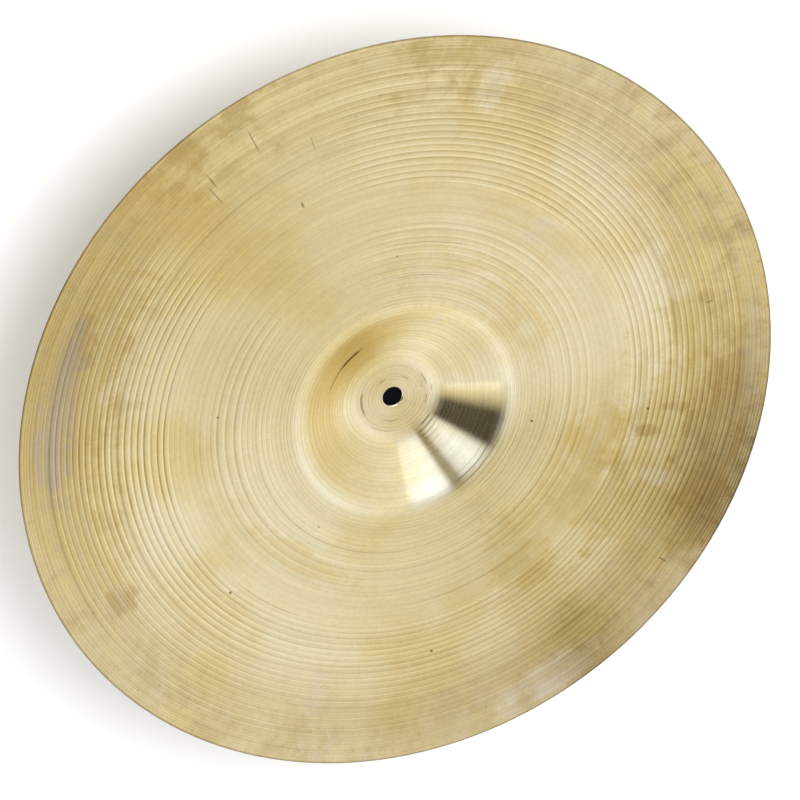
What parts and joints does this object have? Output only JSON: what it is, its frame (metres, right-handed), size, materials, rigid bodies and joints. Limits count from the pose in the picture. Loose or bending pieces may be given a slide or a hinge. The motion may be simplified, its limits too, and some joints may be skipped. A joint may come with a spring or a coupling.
{
  "type": "crash cymbal",
  "caption": "Round bronze crash cymbal: a lathed sheet with a domed bell, a shallow bow that turns down at the rim, and a central stand hole.",
  "frame": {"origin": "centre of the rim plane, on the cymbal's axis, at the lowest level of the rim", "axes": "+Z along the cymbal's axis, bell up; X and Y lie in the rim plane and are equivalent"},
  "size_m": [0.4572, 0.4572, 0.0477],
  "materials": {
    "lathed_bronze": "lathed and lightly tarnished, with concentric tool rings on both faces"
  },
  "bodies": {
    "root": {"cymbal": "lathed_bronze"}
  },
  "joints": []
}
